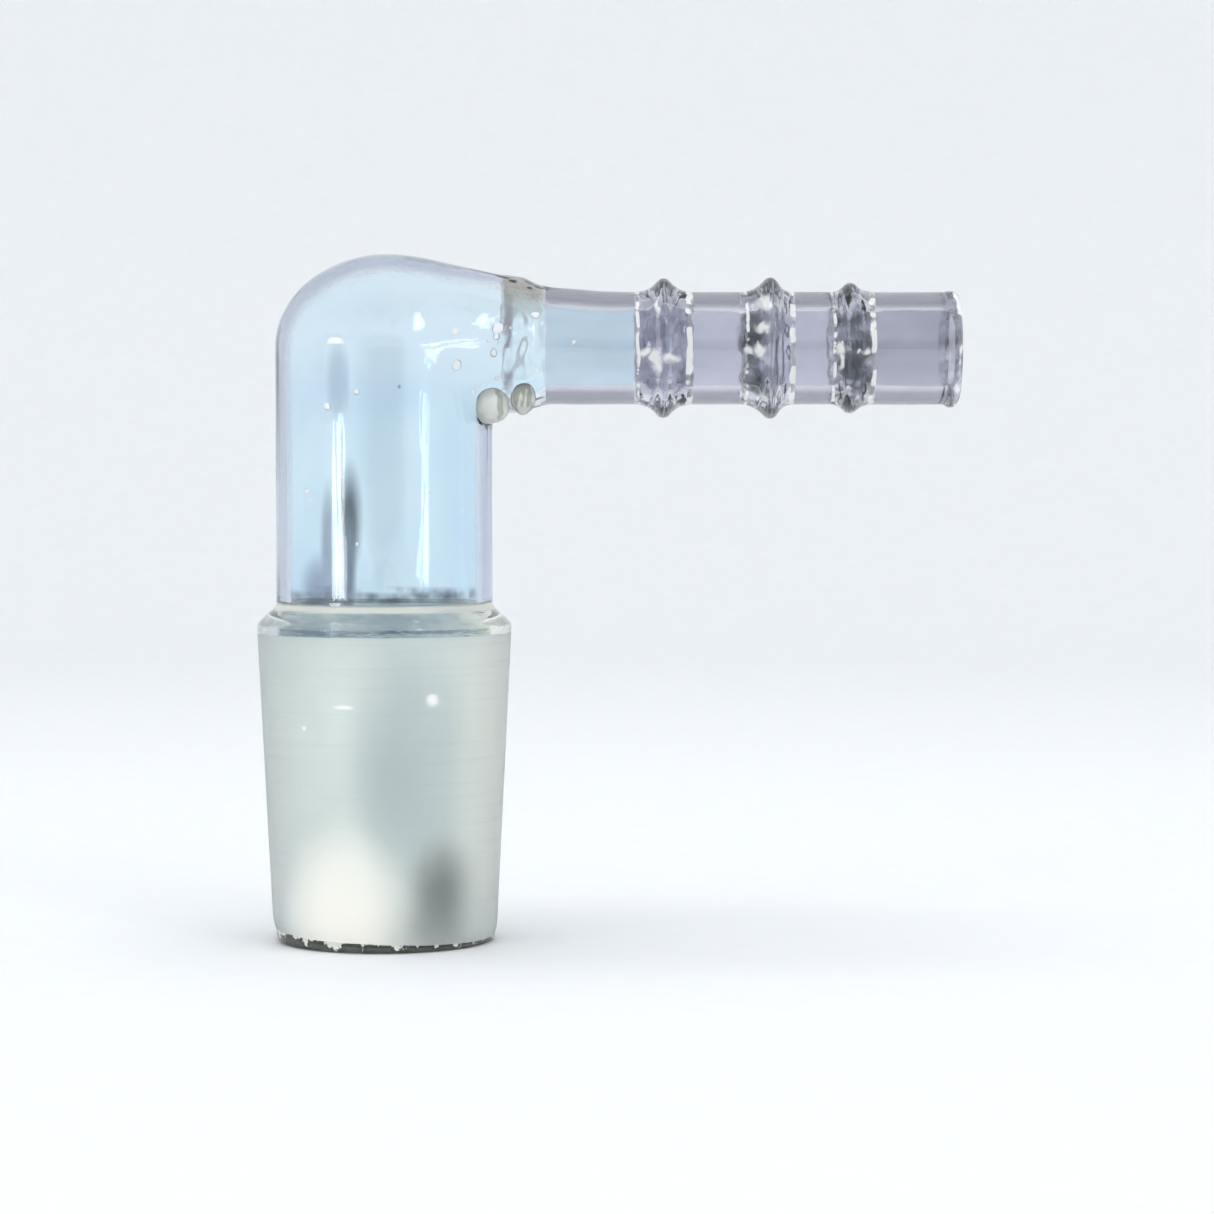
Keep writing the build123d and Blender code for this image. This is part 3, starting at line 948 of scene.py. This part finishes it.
for number in (1, 2):
    glass_piece(f"span_{number}_glass", f"arm_span_{number}", arm_glass, arm_bore)
glass_piece("tip_glass", "arm_tip", arm_glass, tip_bore)
lip_finish = lip_glass()
glass_piece("lip_glass", "tip_lip", lip_finish, lip_finish)


# ---------------------------------------------------------------- drops and painted glint specks


def loose_piece(name, shape, finish):
    """Turn a soft lump into a piece of the glass."""
    for face in shape.faces:
        face.smooth = True
    mesh = bpy.data.meshes.new(name)
    shape.to_mesh(mesh)
    shape.free()
    mesh.materials.append(finish)
    return join_piece(name, mesh)


def weld_drop(name, node, centre, half, seed, finish):
    """A soft drop of glass that ran down the weld and froze in the crotch."""
    shape = bmesh.new()
    bmesh.ops.create_icosphere(shape, subdivisions=5, radius=1.0)
    for vert in shape.verts:
        wave = 1 + 0.09 * noise.noise(vert.co * 1.4 + Vector((seed, 0, 0)))
        vert.co = Vector((centre[i] + vert.co[i] * half[i] * wave for i in range(3))) * MM
    piece = loose_piece(name, shape, finish)
    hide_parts(node)


weld_drop("weld_drop_1", "weld_bead_1", (8.02, -3.2, 39.66), (1.38, 1.15, 1.4), 3.0, milky_drop)
weld_drop("weld_drop_2", "weld_bead_2", (10.36, -3.05, 40.2), (0.92, 1.05, 1.22), 8.0, clear_drop)

# Painted highlights: white specks as flat blisters in the worked glass: place along the arm, height and
# radius.
GLINT_SPECKS = [
    (5.6, 44.9, 0.28), (5.65, 42.5, 0.40), (8.3, 43.4, 0.26), (9.2, 43.9, 0.20), (11.3, 46.2, 0.25),
    (14.1, 44.2, 0.17), (9.5, 45.2, 0.14), (11.4, 42.2, 0.13), (11.8, 41.9, 0.12), (6.8, 40.6, 0.22),
    (8.5, 41.6, 0.15), (-1.45, 40.5, 0.20), (-3.6, 39.5, 0.26), (-5.2, 33.4, 0.22), (-5.0, 32.7, 0.13),
    (3.7, 33.3, 0.11), (-1.45, 29.6, 0.11), (1.6, 40.9, 0.12), (8.6, 45.2, 0.36), (8.5, 44.6, 0.28),
    (7.8, 44.2, 0.12), (9.1, 45.5, 0.12),
]


def front_skin(x, z):
    """Point on the front of the glass, found by walking in from the front, and its outward direction."""
    walk = np.arange(-9.0, 0.0, 0.02)
    inside = bend_outside((np.full_like(walk, x), walk, np.full_like(walk, z))) < 0
    point = np.array([x, walk[np.argmax(inside)], z])
    steps = 0.01 * np.eye(3)
    outward = [bend_outside(point + step) - bend_outside(point - step) for step in steps]
    return Vector(point), Vector(outward).normalized()


def glint_specks():
    """Flat white blisters that follow the skin, as one piece: painted highlights where glints show."""
    random.seed(29)
    shape = bmesh.new()
    for x, z, radius in GLINT_SPECKS:
        seed = bmesh.ops.create_icosphere(shape, subdivisions=3, radius=radius * MM)
        point, outward = front_skin(x, z)
        turn = outward.to_track_quat("Y", "Z")
        squash = Vector((random.uniform(0.8, 1.2), 0.16, random.uniform(0.8, 1.2)))
        shift = Vector((random.uniform(0, 50), 0, 0))
        for vert in seed["verts"]:
            wave = 1 + 0.25 * noise.noise(vert.co.normalized() + shift)
            flat = Vector((vert.co[i] * squash[i] * wave for i in range(3)))
            vert.co = turn @ flat + point * MM
    loose_piece("glint_specks", shape, speck_finish)


glint_specks()

# ---------------------------------------------------------------- floor, light and camera

STAGE_R = 600 * MM
STAGE_CORNER = 250 * MM
STAGE_HEIGHT = 900 * MM


def stage_bowl():
    """Seamless pale floor that curves up into a round wall."""
    profile = [(0.0, 0.0)]
    for t in np.linspace(0.1, 1, 8):
        profile.append(((STAGE_R - STAGE_CORNER) * t, 0.0))
    for a in np.linspace(-90, 0, 17)[1:]:
        r = STAGE_R - STAGE_CORNER + STAGE_CORNER * math.cos(math.radians(a))
        profile.append((r, STAGE_CORNER + STAGE_CORNER * math.sin(math.radians(a))))
    profile.append((STAGE_R, STAGE_HEIGHT))
    verts, faces, turns = [(0, 0, 0)], [], 96
    for r, z in profile[1:]:
        for j in range(turns):
            a = 2 * math.pi * j / turns
            verts.append((r * math.cos(a), r * math.sin(a), z))
    for j in range(turns):
        k = (j + 1) % turns
        faces.append((0, 1 + j, 1 + k))
        for i in range(len(profile) - 2):
            a, b = 1 + i * turns, 1 + (i + 1) * turns
            faces.append((a + j, b + j, b + k, a + k))
    mesh = bpy.data.meshes.new("studio_floor")
    mesh.from_pydata(verts, [], faces)
    mesh.polygons.foreach_set("use_smooth", [True] * len(faces))
    floor = bpy.data.objects.new("studio_floor", mesh)
    bpy.context.scene.collection.objects.link(floor)
    material, tree = new_material("matt_white_paper")
    # paper fibres are 0.1 mm across, drawn thirty times coarser so that they show
    colour = clouded(tree, object_mm(tree), "#F6F7F8", "#F5F6F7", (0.33, 0.33, 0.33))
    paper = add(tree, "ShaderNodeBsdfPrincipled", {"Roughness": 0.9, "Specular IOR Level": 0.1},
                {"Base Color": colour}, "BSDF")
    add(tree, "ShaderNodeOutputMaterial", links={"Surface": paper})
    mesh.materials.append(material)


stage_bowl()


def around_glass(azimuth, distance, height):
    """Point in the room, from millimetres. Azimuth 0 is the front and 90 the arm's side."""
    a = math.radians(azimuth)
    return (distance * math.sin(a) * MM, -distance * math.cos(a) * MM, height * MM)


def soft_light(name, distance, height, width, power):
    """A square light in front of and above the glass, facing it."""
    data = bpy.data.lights.new(name, "AREA")
    data.shape = "RECTANGLE"
    data.size, data.size_y = width * MM, width * MM
    data.energy = power
    light = bpy.data.objects.new(name, data)
    bpy.context.scene.collection.objects.link(light)
    light.location = around_glass(0, distance, height)
    aim = Vector((0, 0, 35 * MM)) - light.location
    light.rotation_mode = "QUATERNION"
    light.rotation_quaternion = aim.to_track_quat("-Z", "Y")
    # it lights the floor and the frost, and leaves no square glint on the clear glass
    light.visible_glossy = False
    light.visible_transmission = False


def dark_card(name, distance, height, width, tall, shade):
    """A grey flag, faded out to its edges, that only the glass sees as a darker part of the room."""
    mesh = bpy.data.meshes.new(name)
    w, t = width * MM / 2, tall * MM / 2
    mesh.from_pydata([(-w, 0, -t), (w, 0, -t), (w, 0, t), (-w, 0, t)], [], [(0, 1, 2, 3)])
    card = bpy.data.objects.new(name, mesh)
    bpy.context.scene.collection.objects.link(card)
    card.location = around_glass(0, distance, height)
    material, tree = new_material(name)
    felt = add(tree, "ShaderNodeBsdfPrincipled", {"Base Color": linear(shade), "Roughness": 1.0},
               out="BSDF")
    clear = add(tree, "ShaderNodeBsdfTransparent", {"Color": (1, 1, 1, 1)}, out="BSDF")
    middle = spot(tree, object_mm(tree), (0, 0, 0), (width / 2, FREE, tall / 2))
    soft = add(tree, "ShaderNodeMixShader", links={0: middle, 1: clear, 2: felt}, out="Shader")
    add(tree, "ShaderNodeOutputMaterial", links={"Surface": soft})
    mesh.materials.append(material)
    card.visible_camera = False
    card.visible_shadow = False
    card.visible_diffuse = False


PANE_DISTANCE = 400


def window_pane(name, corners, glow):
    """A bright pane standing in the room. Corners are azimuth in degrees and height."""
    points = [around_glass(azimuth, PANE_DISTANCE, height) for azimuth, height in corners]
    mesh = bpy.data.meshes.new(name)
    mesh.from_pydata(points, [], [tuple(range(len(points)))])
    pane = bpy.data.objects.new(name, mesh)
    bpy.context.scene.collection.objects.link(pane)
    material, tree = new_material(name)
    light = add(tree, "ShaderNodeEmission", {"Color": linear("#FFFFFF"), "Strength": glow}, out="Emission")
    add(tree, "ShaderNodeOutputMaterial", links={"Surface": light})
    mesh.materials.append(material)
    pane.visible_camera = False
    pane.visible_shadow = False


# Two leaning strips give the long double streak on the body, and its soft twin at the back of
# the bore. The two high ones give the glints on the dome.
window_pane("left_pane_a", [(-53.5, 8), (-46.5, 8), (-49.2, 46), (-51.0, 46)], 11)
window_pane("left_pane_b", [(-43.0, 8), (-38.5, 8), (-46.0, 46), (-47.4, 46)], 10)
window_pane("left_pane_high", [(-57, 68), (-43, 68), (-45, 114), (-54, 114)], 8.5)
window_pane("right_pane_high", [(35, 200), (42, 200), (42, 420), (37, 420)], 7)
soft_light("top_softbox", 10, 500, 350, 0.70)
dark_card("card_behind_camera", 420, 60, 520, 320, "#2E3338")

world = bpy.data.worlds.new("pale_room")
bpy.context.scene.world = world
world.use_nodes = True
world.node_tree.nodes["Background"].inputs["Color"].default_value = linear("#F4F8FC")
world.node_tree.nodes["Background"].inputs["Strength"].default_value = 0.98

# The camera stands level with the body tube and looks down a little.
CAMERA_MM = (16.5, -250.0, 35.2)
AIM_MM = (16.5, 0.0, 24.75)
camera = bpy.data.objects.new("camera", bpy.data.cameras.new("camera"))
bpy.context.scene.collection.objects.link(camera)
camera.data.lens = 100
camera.data.sensor_width = 36
camera.data.clip_start = 0.01
camera.location = Vector(CAMERA_MM) * MM
camera.rotation_mode = "QUATERNION"
camera.rotation_quaternion = (Vector(AIM_MM) - Vector(CAMERA_MM)).to_track_quat("-Z", "Y")
bpy.context.scene.camera = camera

bpy.context.scene.view_settings.view_transform = "Standard"
# light has to pass many skins of glass before it comes out
bpy.context.scene.cycles.max_bounces = 32
bpy.context.scene.cycles.transmission_bounces = 32
bpy.context.scene.cycles.transparent_max_bounces = 32
